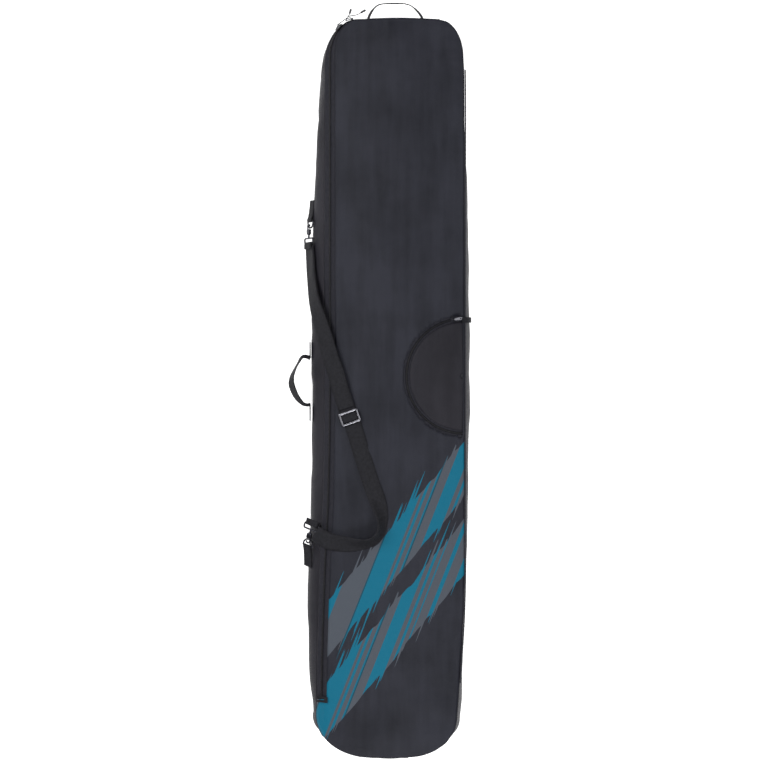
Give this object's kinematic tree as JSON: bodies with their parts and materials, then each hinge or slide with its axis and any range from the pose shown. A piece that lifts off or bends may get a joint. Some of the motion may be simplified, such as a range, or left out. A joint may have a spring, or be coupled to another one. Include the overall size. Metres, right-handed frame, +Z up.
{
  "type": "snowboard bag",
  "caption": "Long padded bag for one snowboard, with a zipped front that opens on its long side, a set-in D-shaped pocket, a clip-on shoulder strap and two grab handles.",
  "frame": {"origin": "on the floor under the middle of the bag and its handles, with the bag on its back", "axes": "+X to the right across the bag, +Y towards its top end, +Z up out of the front panel"},
  "size_m": [0.412, 1.7033, 0.1438],
  "materials": {
    "shell": "satin woven polyester, near black",
    "lining": "thin woven lining",
    "foam": "closed-cell foam sheet",
    "webbing": "ribbed polyester webbing",
    "zip": "zip tape with moulded coil",
    "metal": "bright nickel plate",
    "dark_metal": "gunmetal enamel",
    "cord": "braided cord",
    "grip": "moulded rubber"
  },
  "bodies": {
    "bag": {"back_panel": "shell", "back_padding": "foam", "back_lining": "lining", "gusset_left": "shell", "gusset_top": "shell", "gusset_right": "shell", "gusset_bottom": "shell", "front_foot": "shell", "zip_tape_bag_side": "zip", "zip_coil_bag_side": "zip", "zip_end_tab": "webbing", "right_piping": "webbing", "pocket_zip_tab": "webbing", "ring_tab_upper": "webbing", "ring_tab_lower": "webbing", "d_ring_upper": "metal", "d_ring_lower": "metal", "snap_hook_upper": "metal", "snap_hook_lower": "metal", "swivel_eye_upper": "metal", "swivel_eye_lower": "metal", "side_handle_patch_upper": "webbing", "side_handle_patch_lower": "webbing", "top_handle_patch_left": "webbing", "top_handle_patch_right": "webbing"},
    "front": {"front_panel": "shell", "front_padding": "foam", "front_lining": "lining", "zip_tape_panel_side": "zip", "zip_coil_panel_side": "zip", "pocket_pouch": "lining", "pocket_tape_panel_side": "zip", "pocket_coil_panel_side": "zip"},
    "flap": {"pocket_flap": "shell", "pocket_tape_flap_side": "zip", "pocket_coil_flap_side": "zip"},
    "flap_slider": {"pocket_slider": "dark_metal"},
    "flap_pull": {"pocket_pull": "metal"},
    "slider_lower": {"zip_slider_lower": "dark_metal"},
    "slider_upper": {"zip_slider_upper": "dark_metal"},
    "pull_lower": {"pull_cord_lower": "cord", "pull_grip_lower": "grip"},
    "pull_upper": {"pull_cord_upper": "cord", "pull_grip_upper": "grip"},
    "strap": {"strap_main": "webbing", "strap_return": "webbing"},
    "buckle": {"strap_buckle": "metal"},
    "gate_upper": {"hook_gate_upper": "metal"},
    "gate_lower": {"hook_gate_lower": "metal"},
    "side_grab": {"side_handle": "webbing"},
    "top_grab": {"top_handle": "webbing"}
  },
  "joints": [
    {"name": "front_opens", "type": "hinge", "parent": "bag", "child": "front", "pos_m": [0.188, 0, 0.104], "axis": [0, 1, 0], "range_deg": [0, 110], "deforming": ["zip_tape_bag_side", "zip_coil_bag_side", "zip_tape_panel_side", "zip_coil_panel_side", "strap_main", "strap_return", "front_panel", "front_padding", "front_lining", "pocket_zip_tab"]},
    {"name": "strap_swings", "type": "hinge", "parent": "bag", "child": "strap", "pos_m": [-0.16072, 0.327, 0.05416], "axis": [-0.0047, 0.999, -0.0438], "range_deg": [-165.5, 0]},
    {"name": "lower_slider_runs", "type": "slide", "parent": "bag", "child": "slider_lower", "axis": [-0.0238, -0.9997, 0.0009], "range_m": [0, 1.454]},
    {"name": "upper_slider_runs", "type": "slide", "parent": "bag", "child": "slider_upper", "axis": [1, 0, 0], "range_m": [0, 0.19]},
    {"name": "lower_pull_swings", "type": "hinge", "parent": "slider_lower", "child": "pull_lower", "pos_m": [-0.0953, 0.7889, 0.1002], "axis": [0.7071, -0.7071, 0], "range_deg": [-10, 100], "deforming": ["pull_cord_lower"]},
    {"name": "upper_pull_swings", "type": "hinge", "parent": "slider_upper", "child": "pull_upper", "pos_m": [-0.0708, 0.8077, 0.0979], "axis": [0.6, -0.8, 0], "range_deg": [-10, 100], "deforming": ["pull_cord_upper"]},
    {"name": "flap_opens", "type": "hinge", "parent": "front", "child": "flap", "pos_m": [0.185, 0, 0.1046], "axis": [0, 1, 0], "range_deg": [0, 60], "deforming": ["pocket_tape_panel_side", "pocket_tape_flap_side", "pocket_coil_panel_side", "pocket_coil_flap_side"]},
    {"name": "pocket_slider_runs", "type": "hinge", "parent": "front", "child": "flap_slider", "pos_m": [0.187, 0.006, 0.1046], "axis": [0.1045, 0, 0.9945], "range_deg": [0, 160.5]},
    {"name": "pocket_pull_swings", "type": "hinge", "parent": "flap_slider", "child": "flap_pull", "pos_m": [0.1659, 0.1319, 0.1174], "axis": [0.1564, -0.9873, -0.0266], "range_deg": [0, 140]},
    {"name": "buckle_slides", "type": "slide", "parent": "strap", "child": "buckle", "axis": [0.3317, -0.9434, 0.0004], "range_m": [-0.05, 0.05]},
    {"name": "upper_gate_opens", "type": "hinge", "parent": "bag", "child": "gate_upper", "pos_m": [-0.1586, 0.338, 0.0578], "axis": [-0.8645, 0, 0.5026], "range_deg": [0, 22], "stiffness_Nm_per_rad": 0.02},
    {"name": "lower_gate_opens", "type": "hinge", "parent": "bag", "child": "gate_lower", "pos_m": [-0.1638, -0.3569, 0.0798], "axis": [-0.4686, -0.0622, 0.8812], "range_deg": [0, 22], "stiffness_Nm_per_rad": 0.02},
    {"name": "side_handle_swings", "type": "hinge", "parent": "bag", "child": "side_grab", "pos_m": [-0.1606, -0.006, 0.05], "axis": [0, 1, 0], "range_deg": [-35, 65], "stiffness_Nm_per_rad": 0.05},
    {"name": "top_handle_swings", "type": "hinge", "parent": "bag", "child": "top_grab", "pos_m": [0.035, 0.8118, 0.054], "axis": [1, 0, 0], "range_deg": [-55, 75], "stiffness_Nm_per_rad": 0.05}
  ],
  "couplings": [
    {"joint": "strap_swings", "follows": "front_opens", "ratio": -1.5},
    {"joint": "lower_slider_runs", "follows": "front_opens", "m_per_rad": 0.7563},
    {"joint": "upper_slider_runs", "follows": "front_opens", "m_per_rad": 0.0979},
    {"joint": "pocket_slider_runs", "follows": "flap_opens", "ratio": 2.6667}
  ]
}
